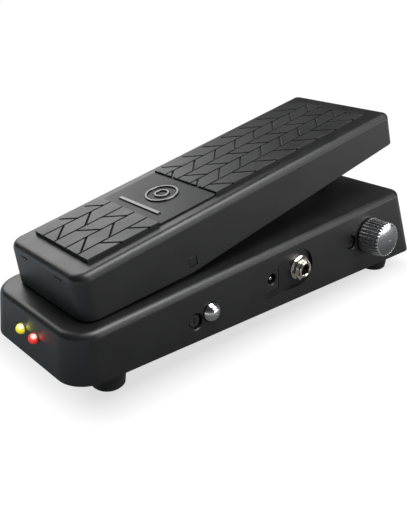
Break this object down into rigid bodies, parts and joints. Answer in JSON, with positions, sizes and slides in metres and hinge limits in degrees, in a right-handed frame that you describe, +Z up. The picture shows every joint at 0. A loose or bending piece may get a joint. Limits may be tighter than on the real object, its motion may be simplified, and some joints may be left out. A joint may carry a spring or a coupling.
{
  "type": "guitar effects pedal",
  "caption": "Rocker guitar effects pedal: wedge base with side sockets, knob, push button, trimmers and lamps, and a sprung ribbed treadle on a cross shaft.",
  "frame": {"origin": "on the floor, midway between the sides of the base and midway between its heel and toe ends at its lower edge", "axes": "+Z up, +Y from the heel end to the toe end along the length, +X to the side with the knob, button and input socket"},
  "size_m": [0.116, 0.2526, 0.0993],
  "materials": {
    "moulded_black": "fine moulded texture, satin sheen",
    "plate_steel": "powder coat",
    "black_rubber": "moulded rubber, faint sheen",
    "zinc_steel": "zinc plated",
    "spring_steel": "oiled spring steel",
    "white_nylon": "natural nylon",
    "circuit_board": "solder mask",
    "black_moulding": "component moulding",
    "nickel": "nickel plate",
    "bright_chrome": "polished chrome",
    "aluminium_shaft": "turned",
    "yellow_lens": "lit diffusing lens",
    "red_lens": "lit diffusing lens",
    "battery_jacket": "lacquered can"
  },
  "bodies": {
    "base": {"base_housing": "moulded_black", "battery": "battery_jacket", "battery_snap": "black_moulding", "board_screws": "zinc_steel", "bottom_plate": "plate_steel", "bracket_screws": "zinc_steel", "button_board": "circuit_board", "button_switch": "black_moulding", "dc_jack": "black_moulding", "dc_jack_pin": "nickel", "foot_heel_left": "black_rubber", "foot_heel_right": "black_rubber", "foot_screws": "zinc_steel", "foot_toe_left": "black_rubber", "foot_toe_right": "black_rubber", "heel_bumper": "black_rubber", "heel_trimmer_body": "black_moulding", "input_jack_body": "black_moulding", "input_jack_bushing": "nickel", "input_jack_nut": "nickel", "input_jack_washer": "nickel", "knob_board": "circuit_board", "led_board": "circuit_board", "led_red": "red_lens", "led_yellow": "yellow_lens", "light_sensor": "black_moulding", "main_board": "circuit_board", "output_jack_body": "black_moulding", "output_jack_bushing": "nickel", "output_jack_nut": "nickel", "output_jack_washer": "nickel", "pivot_bracket": "zinc_steel", "pivot_shaft": "zinc_steel", "plate_screws": "zinc_steel", "pot_nut": "nickel", "range_pot": "nickel", "return_spring": "spring_steel", "shaft_clips": "spring_steel", "toe_bumper": "black_rubber", "toe_trimmer_body": "black_moulding"},
    "treadle": {"treadle_shell": "moulded_black", "heel_tread": "black_rubber", "centre_panel": "moulded_black", "toe_tread": "black_rubber", "pivot_bush_right": "white_nylon", "pivot_bush_left": "white_nylon", "pivot_plug_right": "moulded_black", "pivot_plug_left": "moulded_black", "shutter_flag": "moulded_black"},
    "boost_button": {"boost_button": "bright_chrome"},
    "knob": {"range_knob": "bright_chrome", "knob_cap": "bright_chrome", "pot_shaft": "aluminium_shaft"},
    "heel_trimmer": {"heel_trimmer_rotor": "black_moulding"},
    "toe_trimmer": {"toe_trimmer_rotor": "black_moulding"},
    "battery_door": {"battery_door": "moulded_black"}
  },
  "joints": [
    {"name": "treadle_rock", "type": "hinge", "parent": "base", "child": "treadle", "pos_m": [0, -0.0502, 0.0484], "axis": [-1, 0, 0], "range_deg": [0, 9], "stiffness_Nm_per_rad": 1.2, "springref_deg": -11.46, "deforming": ["return_spring"]},
    {"name": "button_press", "type": "slide", "parent": "base", "child": "boost_button", "axis": [-0.9953, 0.0454, -0.0853], "range_m": [0, 0.002], "stiffness_N_per_m": 1000, "springref_m": -0.0012},
    {"name": "knob_turn", "type": "hinge", "parent": "base", "child": "knob", "pos_m": [0.04839, 0.0782, 0.0313], "axis": [0.9953, -0.0454, 0.0853], "range_deg": [-150, 150]},
    {"name": "heel_trimmer_turn", "type": "hinge", "parent": "base", "child": "heel_trimmer", "pos_m": [0.04312, -0.0568, 0.0209], "axis": [0.9953, -0.0454, 0.0853], "range_deg": [-130, 130]},
    {"name": "toe_trimmer_turn", "type": "hinge", "parent": "base", "child": "toe_trimmer", "pos_m": [0.04777, 0.0627, 0.0303], "axis": [0.9953, -0.0454, 0.0853], "range_deg": [-130, 130]},
    {"name": "battery_door_swing", "type": "hinge", "parent": "base", "child": "battery_door", "pos_m": [-0.026, 0.0349, 0.0106], "axis": [-1, 0, 0], "range_deg": [0, 80]}
  ]
}
